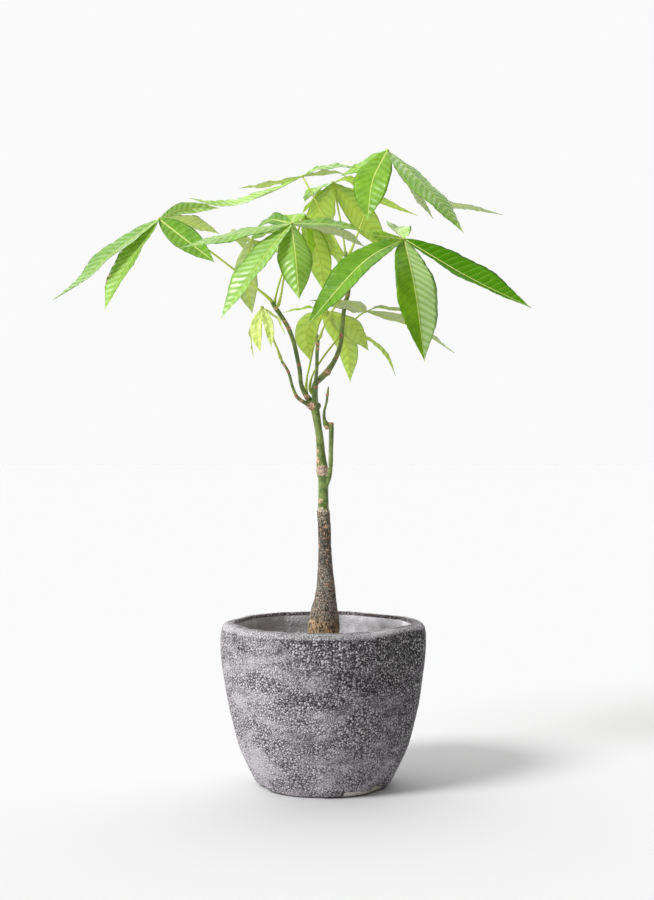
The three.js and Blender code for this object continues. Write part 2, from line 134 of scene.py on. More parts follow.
# Trunk, branches and shoots: x, y, z and radius along each one's middle, root first
TRUNK_FOOT = [(0.2, 0, 120, 20), (0.2, 0, 140, 20)]
TRUNK = [
    (0.2, 0, 158, 19.8), (0.2, 0, 170, 20), (0, 0, 176, 20.5), (0, 0, 190, 20.4), (0.4, 0, 201, 20.4),
    (0.9, 0, 211, 18.9), (1.2, 0, 220, 16.8), (2.3, 0, 233, 13.8), (2.8, 0, 248, 11.8),
    (2.4, 0, 263, 10.4), (2.2, 0, 278, 9), (1.7, 0, 300, 8), (1, 0, 326, 8.1), (-0.2, 0, 345, 8),
    (-0.2, 0, 351, 6.8), (-0.2, 0, 370, 6.5), (-0.2, 0, 386, 6.6), (-1.2, 0, 393, 7.8),
    (-1.6, 0, 400, 7.6), (-2.3, 0, 406, 6.8), (-3.2, 0, 418, 5.6), (-4.8, 0, 438, 4.9),
    (-7, 0, 452, 4.9), (-9.4, 0, 467, 5.4), (-11.5, 0, 478, 5.6),
]
LIMBS = {
    "cut_stem": [
        (2, -3, 372, 2.4), (7.2, -5, 386, 2.6), (8.9, -6, 398, 2.7), (9.2, -7, 409, 3.1),
        (9.5, -7, 424, 3), (9.9, -7, 444, 3.3), (10.1, -7, 457, 3.1),
    ],
    "knob_shoot": [
        (6, -7, 449, 3.4), (3, -7.5, 455, 3.8), (1, -8, 461, 2.4), (1, -8, 471, 1.9),
        (4, -9, 483, 1.7), (5, -10, 492, 2), (6.5, -11, 503, 0.8),
    ],
    "left_branch": [
        (-13, 0, 476, 5.4), (-17, -1, 484, 4.4), (-22, -3, 491, 3.6), (-28, -5, 504, 2.9),
        (-30, -9, 523, 2.9), (-33, -12, 538, 2.8), (-37, -16, 556, 2.9), (-44, -20, 575, 3),
        (-53, -24, 590, 2.9), (-60, -26, 600, 3.1), (-65, -28, 608, 2.3), (-67, -28, 613, 1),
    ],
    "right_branch": [
        (-10, 1, 474, 5), (-11, 5, 487, 4.2), (-11, 8, 500, 4.1), (-10, 8, 507, 4), (-4, 8, 513, 4.1),
        (4, 8, 521, 4.2), (14, 8, 536, 3.3), (21, 7, 554, 3.1), (24, 6, 580, 2.9), (27, 5, 606, 2.9),
        (31, 5, 620, 3), (32, 5, 641, 2.8), (30, 5, 660, 2.9), (29, 5, 670, 2.6), (29, 5, 675, 1),
    ],
    "centre_branch": [
        (-11, -2, 476, 4.6), (-11.5, -9, 486, 3.2), (-11, -12, 498, 2.5), (-8.5, -14, 524, 2.4),
        (-8, -15, 546, 2.4), (-7, -16, 561, 2.6), (-7.5, -16, 568, 1),
    ],
    "low_twig": [
        (-15, -3, 477, 3.6), (-22, -8, 481, 2.7), (-29, -12, 485, 2.5), (-34, -15, 490, 2.4),
        (-39, -18, 502, 2), (-44, -22, 520, 2), (-52, -25, 533, 1.9), (-54, -26, 538, 1),
    ],
}
SCAR_KNOBS = [
    ((-14.5, -1.5, 478), 6), ((-7.5, -2, 478), 4.6), ((5, 7, 521), 4.8), ((-7, 3, 511), 3.2),
]
# Leaf scars and corky marks: place, radius, how far each one stands up, and how red it is
SCARS = [
    ((4.4, -8, 325.3), 2.2, 0.3, 0.2), ((6.3, -8, 295.8), 2, 0.3, 0.3), ((4.1, -11, 251.9), 2.4, 0.3, 0.3),
    ((-4.4, -5, 357.6), 3, 0.4, 0.1), ((4.1, -8, 346.3), 1.8, 0.3, 0.2), ((-17.3, -3, 469), 2, 0.8, 0.1),
    ((-15.2, -5, 478.3), 5, 0.5, 0.25), ((10.2, -8, 458), 4, 0.1, 0.8), ((3.7, -11, 449.7), 2.6, 0.6, 0.3),
    ((4.8, -11, 491.8), 2, 0.3, 0.5), ((-21.4, -7, 488.9), 3.4, 0.6, 0.35),
    ((-30.9, -13, 529.7), 1.9, 0.4, 0.8), ((-43.4, -22, 574.7), 2.2, 0.6, 0.4),
    ((-49, -26, 582), 2.4, 0.6, 0.3), ((-59.1, -29, 599), 2.4, 0.5, 0.1), ((-12, 2, 511.9), 3.4, 0.5, 0.6),
    ((-5.7, 2, 507.1), 3, 0.5, 0.7), ((4.4, 3, 521.1), 4, 0.8, 0.4), ((-3.9, 3, 519.8), 2.2, 0.5, 0.8),
    ((10, 3, 531.3), 1.8, 0.5, 0.8), ((16.5, 4, 538.9), 2.2, 0.5, 0.8), ((21.3, 4, 568), 2.4, 0.6, 0.9),
    ((25.4, 3, 612.4), 2.2, 0.6, 0.8), ((31.1, 3, 618.7), 2.6, 0.6, 0.2),
    ((-8.5, -15, 500.6), 2.4, 0.5, 0.9), ((-7.6, -17, 555.1), 2.2, 0.5, 0.5),
    ((-6.1, -17, 548.8), 2, 0.5, 0.4), ((-28.3, -14, 483.8), 2.2, 0.4, 0.3),
    ((-34.2, -17, 489.3), 2.2, 0.4, 0.8), ((-44.3, -24, 519.8), 2, 0.4, 0.9),
    ((-47.5, -26, 528.1), 1.8, 0.4, 0.3), ((-8, -3, 409), 4.2, 0.4, 0.1), ((-8, -3, 420), 2.6, 0.3, 0.2),
    ((-9.5, -1, 436), 2.6, 0.3, 0.3), ((1, 7, 330), 2.2, 0.3, 0.3), ((-6, 6, 300), 2, 0.3, 0.2),
    ((26, 9, 640), 2, 0.5, 0.8), ((-33, -8, 545), 2, 0.5, 0.7), ((19, 10, 556), 2, 0.5, 0.7),
]
# The ring of cork round the trunk: its lower and upper edge and how far from the middle it reaches
CORK_LOW, CORK_HIGH, CORK_REACH = 391, 401, 8.8
BARK_TOP = 346
FOOT_RIBS = (228, 200)
PLAIN_BELOW = 172
SCAR_REACH = 1.7
TRUNK_SIDES = 40
LIMB_SIDES = 18
LIMB_ROWS = 4
STEM_FINENESS = 0.85
STEM_SMOOTHINGS = 3

# How a leaflet is laid out
BLADE_ROWS = 72
BLADE_COLUMNS = 16
BLADE_CROWDING = 1.35
BLADE_THICKNESS = 0.6
BLADE_FOLD = 0.2
BLADE_WAVE = 1.3
BLADE_WAVES = 2.5
BLADE_WAVE_SHIFT = 1.9
BLADE_ROOT_HALF = 1.1
BLADE_TIP_HALF = 0.15
EDGE_RAGGED = 0.045
EDGE_FRILL = 0.35
VEIN_SPACING = 9.5
VEIN_SLANT = 0.42
VEIN_BEND = 0.3
QUILT = 0.48
RIB_DIP = 0.28
RIB_STANDS = 0.55
HUB_RADIUS = 2.7
PETIOLE_ROOT = 2.3
PETIOLE_RADIUS = 1.3
PETIOLE_HIDDEN = 0.45
PETIOLE_END = 0.8
PETIOLE_SIDES = 10
PETIOLE_ROWS = 6
UPPER_SIDE, UNDER_SIDE, STALK = range(3)
LEAF_SEED = 40


def leaflet(width, roll, *route, twist=0, fold=BLADE_FOLD):
    """A leaflet's width, its roll in degrees, its route from the hub to the tip, and how it turns."""
    return {"width": width, "roll": roll, "route": route, "twist": twist, "fold": fold}


# The leaves: each petiole's route from its branch to the hub, then its leaflets
LEAVES = {
    "leaf_far_left": (
        [(-62, -27, 603), (-66, -29, 609), (-88, -25, 628), (-143, -16, 672), (-207, -10, 713)],
        leaflet(47, 23, (-268, -25, 664), (-300, -40, 630), (-334, -50, 607), twist=-18),
        leaflet(53, -4, (-241, -45, 650), (-267, -70, 593), fold=0.29),
        leaflet(31, -60, (-170, -40, 682), (-132, -65, 651), fold=0.46),
        leaflet(33, 14, (-175, 25, 714), (-135, 45, 703)),
        leaflet(16, -72, (-182, 30, 732), (-136, 60, 739), fold=0.46),
    ),
    "leaf_upper_left": (
        [(29, 5, 668), (25, 6, 671), (12, 8, 695), (2, 11, 717), (-27, 20, 773)],
        leaflet(27, 0, (-72, 45, 767), (-111, 60, 765), fold=0),
        leaflet(35, 11, (-78, 5, 745), (-130, -10, 730), (-169, -15, 739), twist=28),
        leaflet(23, -26, (-8, 18, 782), (22, 20, 786), (43, 26, 786), fold=0.04),
        leaflet(26, 0, (2, 8, 773), (21, -5, 772), (31, -10, 764)),
    ),
    "leaf_top_right": (
        [(29.5, 5, 666), (33, 2, 671), (43, -2, 695), (51, 2, 716), (66, 15, 754), (82, 25, 807)],
        leaflet(46, 12, (62, -5, 762), (55, -30, 708), fold=0.09),
        leaflet(29, 46, (53, 46, 794), (22, 66, 782), fold=0.01),
        leaflet(51, -13, (120, -5, 764), (154, -20, 724), (175, -30, 692), fold=-0.1),
        leaflet(36, -13, (112, 45, 774), (144, 60, 724), fold=-0.13),
        leaflet(30, 5, (138, 50, 752), (191, 75, 743), (239, 90, 735), fold=-0.07),
    ),
    "leaf_back_centre": (
        [(30, 5, 657), (29, 10, 663), (27, 20, 683), (21, 40, 723), (15, 56, 758), (12, 60, 772)],
        leaflet(36, 6, (-12, 48, 760), (-25, 38, 743), fold=0.04),
        leaflet(21, 9, (-14, 75, 748), (-29, 90, 737), fold=0.13),
        leaflet(46, 17, (-8, 90, 740), (-6, 125, 694), fold=-0.34),
        leaflet(35, 59, (44, 95, 742), (87, 115, 689), fold=-0.48),
        leaflet(26, -5, (35, 80, 764), (82, 95, 749)),
        leaflet(16, 19, (34, 100, 782), (77, 122, 758), (129, 140, 742), fold=0.39),
    ),
    "leaf_front_centre": (
        [
            (-59, -26, 599), (-56, -31, 603), (-52, -42, 616), (-50, -48, 627), (-42, -65, 666),
            (-39, -75, 697),
        ],
        leaflet(21, 47, (-66, -45, 706), (-86, -25, 698)),
        leaflet(43, 23, (-104, -82, 684), (-174, -90, 665), fold=-0.07),
        leaflet(46, 12, (-72, -110, 650), (-121, -130, 576), fold=0.29),
        leaflet(42, -5, (-33, -118, 653), (-28, -135, 598), fold=-0.43),
        leaflet(35, -26, (16, -72, 696), (52, -60, 689), fold=0.11),
        leaflet(30, 4, (14, -50, 694), (53, -20, 676), fold=-0.12),
        leaflet(30, 0, (-36, -45, 710), (-29, -18, 719), fold=0.1),
    ),
    "leaf_front_right": (
        [
            (-7, -16, 560), (-4, -21, 564), (-1, -25, 572), (13, -34, 598), (45, -50, 638), (75, -62, 667),
            (98, -70, 679),
        ],
        leaflet(41, 36, (50, -105, 648), (-21, -125, 567), fold=0.28),
        leaflet(57, 5, (108, -112, 618), (120, -120, 526), fold=0.14),
        leaflet(44, -36, (177, -90, 629), (248, -110, 591), fold=0.44),
        leaflet(32, -12, (92, -30, 694), (96, 15, 708), fold=0.55),
        leaflet(12, 75, (62, -100, 679), (49, -125, 680)),
    ),
    "leaf_inner": (
        [(-60, -26, 601), (-61, -22, 607), (-60, -19, 614), (-54, -8, 639), (-39, 5, 683), (-25, 15, 722)],
        leaflet(32, 61, (-6, 28, 672), (2, 32, 624), fold=0.44),
        leaflet(27, 19, (9, 31, 690), (28, 31, 653), fold=-0.09),
        leaflet(26, 40, (-21, -2, 690), (-18, -10, 659)),
        leaflet(15, 10, (-48, 5, 692), (-71, -5, 661)),
    ),
    "leaf_right_back": (
        [
            (-11, 5, 488), (-17, 8, 499), (-15, 13, 515), (-5, 18, 534), (17, 30, 564), (34, 46, 584),
            (45, 50, 596), (55, 52, 603),
        ],
        leaflet(21, -26, (29, -14, 608), (-18, -20, 610), fold=-0.4),
        leaflet(40, 16, (115, 58, 584), (172, 60, 549), twist=-37),
        leaflet(9, 22, (78, 82, 611), (140, 100, 599)),
    ),
    "leaf_low_centre": (
        [
            (-17, -1, 485), (-22, 4, 497), (-21, 6, 514), (-18, 8, 528), (-12, 12, 557), (-2, 18, 595),
            (4, 20, 600),
        ],
        leaflet(31, 50, (42, 24, 576), (58, 22, 549), fold=-0.29),
        leaflet(29, 27, (12, 45, 584), (30, 58, 560), (35, 60, 510)),
        leaflet(29, -24, (-21, 38, 577), (-17, 46, 537), fold=0.45),
        leaflet(21, -8, (28, 60, 582), (78, 78, 556), (96, 84, 520), fold=-0.04),
        leaflet(8, -13, (-20, 35, 606), (-53, 40, 600), fold=0.08),
    ),
    "leaf_behind_left": (
        [(31.5, 5, 640), (26, 9, 643), (10, 14, 651), (-13, 18, 661), (-60, 22, 677), (-92, 10, 690)],
        leaflet(26, -31, (-111, 35, 695), (-104, 60, 684), fold=0.35),
        leaflet(24, -15, (-72, 30, 702), (-48, 45, 707)),
        leaflet(32, -13, (-100, 25, 644), (-92, 35, 598), fold=-0.06),
        leaflet(22, 10, (-77, 25, 679), (-59, 40, 679)),
    ),
    "leaf_young": (
        [
            (-51, -25, 532), (-54, -27, 538), (-57, -28, 547), (-62, -30, 559), (-69, -32, 581),
            (-76, -35, 599),
        ],
        leaflet(10, 40, (-90, -27, 574), (-88, -24, 538)),
        leaflet(15, 0, (-83, -42, 572), (-78, -46, 543)),
        leaflet(12, -43, (-68, -45, 578), (-64, -48, 548), fold=0.35),
        leaflet(8, 25, (-58, -35, 586), (-47, -38, 565)),
    ),
}

# Depth of colour (0 deep, 1 fresh) and the sheen on the two halves of leaflets that stand out, by
# leaf and place in its list; the sheen is painted into the colour and also makes the coat glossy
LEAFLET_LOOKS = {
    "leaf_far_left": {
        0: (0.15, 0.8, 0.8), 1: (0.35, 1.2, 0.5), 2: (0.2, 0.4, 0.3), 3: (0.9, 0.7, 0.7), 4: (0.9, 2.0, 2.0),
    },
    "leaf_upper_left": {0: (0.6, 0.7, 0.7), 1: (0.6, 1, 1), 2: (0.3, 0.8, 0.8), 3: (0.6, 0.8, 0.8)},
    "leaf_top_right": {
        0: (0.35, 0.3, 0.4), 1: (0.4, 0.3, 0.3), 2: (0.3, 0.8, 0.4), 3: (0.6, 1, 1), 4: (0.6, 1, 1),
    },
    "leaf_back_centre": {0: (0.4, 0.5, 0.5)},
    "leaf_front_centre": {
        0: (0.1, 0.4, 0.4), 1: (0.3, 0.6, 0.6), 2: (0.3, 1, 1), 3: (0.4, 0.7, 0.7), 4: (0.3, 0.3, 0.3),
        5: (0.6, 1, 1),
    },
    "leaf_front_right": {
        0: (0.2, 0.2, 0.3), 1: (0.25, 0, 2.4), 2: (-0.3, 0, 0), 3: (0.6, 1, 1), 4: (0.5, 0.3, 0.3),
    },
    "leaf_right_back": dict.fromkeys((0, 1, 2), (0.6, 0.9, 0.9)),
    "leaf_behind_left": dict.fromkeys((0, 2, 3), (0.6, 0.7, 0.7)),
    "leaf_young": dict.fromkeys((0, 1, 2, 3), (0.6, 0.8, 0.8)),
}

# Small marks of damage: share along the leaflet, share across it, size in millimetres
LEAFLET_MARKS = {
    "leaf_far_left": {1: [(0.66, 0.97, 4.5), (0.72, 1.0, 3.5)]},
    "leaf_front_right": {1: [(0.66, 0.6, 1.8), (0.7, -0.97, 2.0)], 2: [(1.0, 0.0, 4.5)]},
}

# The four kinds of leaf side: colours, the colour and share of light that glows through, and the
# strength of gloss, sheen, painted shade in the quilting's creases, vein lines, painted grey sheen
# and pale streaks
LEAF_SIDES = {
    "leaf upper side": {
        "deep": (74, 138, 0), "fresh": (166, 222, 50), "vein": (160, 204, 80), "midrib": (226, 232, 146),
        "glow": (222, 246, 130), "thin": 0.4, "gloss": 0.32, "quilted": 0.3, "veined": 0.3, "shiny": 1.0,
    },
    "leaf underside": {
        "deep": (156, 176, 76), "fresh": (230, 236, 156), "vein": (130, 152, 60), "midrib": (172, 184, 98),
        "glow": (250, 248, 176), "thin": 0.62, "gloss": 0.5, "quilted": 0.3, "veined": 0.4, "grey_sheen": 0.8,
    },
    "young leaf upper side": {
        "deep": (166, 200, 58), "fresh": (214, 230, 98), "vein": (178, 206, 78), "midrib": (214, 226, 140),
        "glow": (250, 252, 200), "thin": 0.36, "gloss": 0.38, "quilted": 0.1, "veined": 0.3, "shiny": 0.3,
        "streaked": 0.6,
    },
    "young leaf underside": {
        "deep": (190, 212, 96), "fresh": (220, 230, 130), "vein": (176, 196, 84), "midrib": (180, 194, 96),
        "glow": (250, 252, 200), "thin": 0.4, "gloss": 0.5, "quilted": 0.1, "veined": 0.4, "streaked": 0.6,
    },
}

# Share of the light that passes one side of a blade on its way to what lies behind
LEAF_LETS_THROUGH = (0.34, 0.4, 0.12, 1)


def tint(red, green, blue):
    """A shader colour from the 0 to 255 values of a paint card."""
    def linear(value):
        value /= 255
        return value / 12.92 if value <= 0.04045 else ((value + 0.055) / 1.055) ** 2.4
    return (linear(red), linear(green), linear(blue), 1)


def smooth_step(low, high, value):
    share = min(max((value - low) / (high - low), 0), 1)
    return share * share * (3 - 2 * share)


def band(value, begins, whole_from, whole_to, ends):
    """1 between the two middle values and 0 beyond the outer two, with soft steps."""
    return smooth_step(begins, whole_from, value) * smooth_step(ends, whole_to, value)


def near_line(value, line, width):
    """1 on a line and less and less away from it."""
    return math.exp(-(((value - line) / width) ** 2))


class Route:
    """A smooth line through given points, measured along its length."""

    STEPS = 200

    def __init__(self, points):
        self.points = [Vector(point[:3]) for point in points]
        marks = [self.point(step / self.STEPS) for step in range(self.STEPS + 1)]
        self.lengths = [0.0]
        for before, after in zip(marks, marks[1:]):
            self.lengths.append(self.lengths[-1] + (after - before).length)
        self.length = self.lengths[-1]

    def point(self, along):
        points = self.points
        last = len(points) - 1
        span = min(int(along * last), last - 1)
        part = along * last - span
        here, ahead = points[span], points[span + 1]
        before = points[span - 1] if span else 2 * here - ahead
        after = points[span + 2] if span + 2 <= last else 2 * ahead - here
        d0, d1, d2 = (math.sqrt((b - a).length) for a, b in ((before, here), (here, ahead), (ahead, after)))
        leave = ((here - before) / d0 - (ahead - before) / (d0 + d1) + (ahead - here) / d1) * d1
        arrive = ((ahead - here) / d1 - (after - here) / (d1 + d2) + (after - ahead) / d2) * d1
        square = 3 * (ahead - here) - 2 * leave - arrive
        cube = 2 * (here - ahead) + leave + arrive
        return here + part * (leave + part * (square + part * cube))

    def along(self, share):
        """The route's own measure at a share of its length."""
        goal = share * self.length
        step = min(bisect_right(self.lengths, goal), self.STEPS) - 1
        piece = self.lengths[step + 1] - self.lengths[step]
        return min((step + (goal - self.lengths[step]) / piece) / self.STEPS, 1)

    def tangent(self, along):
        low, high = max(along - 1e-4, 0), min(along + 1e-4, 1)
        return (self.point(high) - self.point(low)).normalized()


def new_attributes(bm, *names):
    layers = bm.verts.layers.float
    return [layers.get(name) or layers.new(name) for name in names]


def cloth_of_points(bm, columns, rows, place, material):
    """A fine net of faces whose corners are put down by place(corner, across -1..1, along 0..1)."""
    made = bmesh.ops.create_grid(bm, x_segments=columns, y_segments=rows, size=1)["verts"]
    for vert in made:
        place(vert, vert.co.x, (vert.co.y + 1) / 2)
    faces = {face for vert in made for face in vert.link_faces}
    for face in faces:
        face.material_index = material
    return made


def in_scene(name, data):
    thing = bpy.data.objects.new(name, data)
    bpy.context.scene.collection.objects.link(thing)
    return thing


def weld(bm, verts, distance=0.002):
    bmesh.ops.remove_doubles(bm, verts=verts, dist=distance)


def put_down(bm, name, replaced, materials):
    """Turns a finished shape in millimetres into a piece of the part."""
    bmesh.ops.recalc_face_normals(bm, faces=bm.faces)
    bmesh.ops.scale(bm, vec=(MM, MM, MM), verts=bm.verts)
    for face in bm.faces:
        face.smooth = True
    mesh = bpy.data.meshes.new(name)
    bm.to_mesh(mesh)
    bm.free()
    piece = in_scene(name, mesh)
    for material in materials:
        mesh.materials.append(material)
    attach(piece, "root")
    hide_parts(replaced)


def tube(bm, stations, sides, rows_per_span, material=0):
    """A closed round limb of changing thickness along its stations."""
    middle = Route(stations)
    spans = len(stations) - 1
    rows = spans * rows_per_span
    rings = []
    across = Vector((1, 0, 0))
    for row in range(rows + 1):
        along = row / rows
        span = min(int(along * spans), spans - 1)
        part = along * spans - span
        tangent = middle.tangent(along)
        across = (across - across.dot(tangent) * tangent).normalized()
        radius = stations[span][3] * (1 - part) + stations[span + 1][3] * part
        rings.append((middle.point(along), across.copy(), tangent.cross(across), radius))

    def place(vert, around, along):
        centre, first, second, radius = rings[round(along * rows)]
        angle = math.pi * around
        vert.co = centre + radius * (math.cos(angle) * first + math.sin(angle) * second)

    made = cloth_of_points(bm, sides, rows, place, material)
    weld(bm, made)
    made = [vert for vert in made if vert.is_valid]
    open_edges = {edge for vert in made for edge in vert.link_edges if edge.is_boundary}
    caps = bmesh.ops.holes_fill(bm, edges=list(open_edges), sides=0)["faces"]
    for face in caps:
        face.material_index = material


def lance(share):
    """Half width of a leaflet at a share of its length: a lance shape drawn out to a point."""
    return (4 * share * (1 - share)) ** (0.75 + 0.6 * share)


def leaflet_frames(hub, leaflet):
    """Middle, across and upper side at every row of a leaflet, and its length."""
    midrib = Route([hub, *leaflet["route"]])
    overall = (midrib.points[-1] - midrib.points[0]).normalized()
    level = overall.cross(UP).normalized()
    frames = []
    for row in range(BLADE_ROWS + 1):
        share = row / BLADE_ROWS
        along = midrib.along(share)
        tangent = midrib.tangent(along)
        roll = math.radians(leaflet["roll"] + leaflet["twist"] * share * share)
        across = Quaternion(overall, -roll) @ level
        across = (across - across.dot(tangent) * tangent).normalized()
        frames.append((midrib.point(along), across, across.cross(tangent)))
    return frames, midrib.length


def grow_leaflet(bm, hub, leaflet, index, rng, looks, marks):
    """One leaflet with its quilted blade, midrib and waved edge, closed on both sides."""
    frames, length = leaflet_frames(hub, leaflet)
    half_most = leaflet["width"] / 2
    turn = index * BLADE_WAVE_SHIFT
    vein_phase, from_midrib, along_leaf, to_edge, tone, sheen, damage = new_attributes(
        bm, "vein_phase", "from_midrib", "along_leaf", "to_edge", "leaf_tone", "leaf_sheen", "leaf_damage",
    )
    own_looks = looks.get(index, (rng.uniform(0.5, 0.8), rng.uniform(0.1, 0.6), rng.uniform(0.1, 0.6)))
    spacing = max(length / max(round(length / VEIN_SPACING), 5), 5)
    shift = rng.uniform(0, 1)
    frill = rng.uniform(0, 6.28)
    seed = Vector([rng.uniform(0, 90) for _ in range(3)])

    def spot(across_share, share, sign):
        row = round(share * BLADE_ROWS)
        centre, across, upper = frames[row]
        side = math.copysign(abs(across_share) ** BLADE_CROWDING, across_share)
        near = abs(side)
        stalked = 1 - smooth_step(0.02, 0.12, share)
        half = max(half_most * lance(share), BLADE_ROOT_HALF * stalked, BLADE_TIP_HALF)
        body = smooth_step(0.0, 0.22, share) * smooth_step(0.0, 0.2, 1 - share)
        wavelet = noise.noise(seed + Vector((share * 7, 3 * (side > 0), 0)))
        half *= 1 + EDGE_RAGGED * body * wavelet * near
        x = side * half
        y = share * length
        bent = VEIN_SLANT * abs(x) + VEIN_BEND * x * x / max(half_most, 1)
        phase = (y - bent) / spacing + shift * (side > 0)
        wave = BLADE_WAVE * math.sin(math.pi * share) * math.sin(2 * math.pi * BLADE_WAVES * share + turn)
        rise = half * leaflet["fold"] * near ** 1.25 + body * wave * near ** 1.5
        rise += EDGE_FRILL * body * near ** 3 * math.sin(math.pi * phase + frill + 2 * (side > 0))
        quilted = smooth_step(0.05, 0.3, near) * (1 - 0.5 * near)
        rise -= QUILT * body * math.cos(2 * math.pi * phase) * quilted
        rib = 0.55 * (1 - share) ** 0.7 + 0.15
        swell = near_line(x, 0, rib) * (1 - 0.5 * share)
        rise -= (RIB_DIP if sign > 0 else RIB_STANDS) * swell
        thick = BLADE_THICKNESS / 2 * math.sqrt(max(1 - near ** 4, 0)) * (row < BLADE_ROWS)
        place = centre + x * across + (rise + sign * thick) * upper
        half_sheen = own_looks[1] if side > 0 else own_looks[2]
        return place, phase, abs(x), near, half_sheen * smooth_step(0, 0.12, near)

    blade = []
    for sign, material in ((1, UPPER_SIDE), (-1, UNDER_SIDE)):
        def place(vert, across_share, share):
            vert.co, phase, off, near, vert[sheen] = spot(across_share, share, sign)
            vert[vein_phase], vert[from_midrib], vert[along_leaf] = phase, off, share
            vert[to_edge], vert[tone] = near, own_looks[0]
            for mark_along, mark_across, size in marks.get(index, []):
                off_along = (share - mark_along) * length
                off_across = math.copysign(near, across_share) - mark_across
                away = math.hypot(off_along, off_across * half_most * lance(mark_along)) / size
                vert[damage] = max(vert[damage], smooth_step(1.2, 0.3, away))

        blade += cloth_of_points(bm, BLADE_COLUMNS, BLADE_ROWS, place, material)
    weld(bm, [vert for vert in blade if vert.is_boundary], 0.02)


def grow_leaf(name, leaf, materials, seed):
    """A compound leaf: petiole, hub and leaflets, one piece."""
    rng = random.Random(seed)
    bm = bmesh.new()
    petiole, *leaflets = leaf
    hub = Vector(petiole[-1])
    for index, one in enumerate(leaflets):
        grow_leaflet(bm, hub, one, index, rng, LEAFLET_LOOKS.get(name, {}), LEAFLET_MARKS.get(name, {}))
    thinner = {0: PETIOLE_HIDDEN, len(petiole) - 1: PETIOLE_END}
    stations = [
        (*point, (PETIOLE_ROOT if index < 2 else PETIOLE_RADIUS) * thinner.get(index, 1))
        for index, point in enumerate(petiole)
    ]
    tube(bm, stations, PETIOLE_SIDES, PETIOLE_ROWS, material=STALK)
    knob = bmesh.ops.create_icosphere(bm, subdivisions=2, radius=HUB_RADIUS, matrix=Matrix.Translation(hub))
    for vert in knob["verts"]:
        vert.co = hub + (vert.co - hub) * (0.85 + 0.3 * noise.noise(vert.co * 0.5))
        for face in vert.link_faces:
            face.material_index = STALK
    put_down(bm, name.replace("leaf_", "fine_leaf_"), name, materials)


def hewn(azimuth, height):
    """How far the hewing has moved the planter's wall in or out at one direction and height."""
    rise = min(max(height / POT_HEIGHT, 0), 1)
    offset = 0
    for direction, lip, foot in POT_FLATS:
        depth = foot + (lip - foot) * rise * rise
        level = POT_LIP_RADIUS - depth
        facing = math.cos(azimuth - math.radians(direction))
        if facing > level / POT_LIP_RADIUS:
            offset = min(offset, level / facing - POT_LIP_RADIUS)
    swell = sum(POT_SWELL * math.sin(count * azimuth + height / climb) for count, climb in POT_SWELLS)
    return offset + swell * math.sin(math.pi * rise)


def spun(bm, outline, turns):
    """Spins an outline of (radius, height) about the planter's axis into a closed skin."""
    verts = [bm.verts.new((radius, 0, height)) for radius, height in outline]
    edges = [bm.edges.new(pair) for pair in zip(verts, verts[1:])]
    bmesh.ops.spin(
        bm, geom=verts + edges, cent=(0, 0, 0), axis=(0, 0, 1), angle=math.tau, steps=turns, use_merge=True,
    )
    weld(bm, bm.verts, 0.001)


def eased(outline, per_span):
    """An outline with soft corners: each span is parted along one smooth line."""
    line = Route([(point[0], 0, point[1]) for point in outline])
    steps = (len(outline) - 1) * per_span
    spots = [line.point(step / steps) for step in range(steps + 1)]
    return [(max(spot.x, 0), spot.z) for spot in spots]


def outer_radius(height):
    for (low_radius, low), (high_radius, high) in zip(POT_OUTLINE, POT_OUTLINE[1:]):
        if low <= height <= high:
            return low_radius + (high_radius - low_radius) * (height - low) / max(high - low, 0.001)
    return POT_LIP_RADIUS


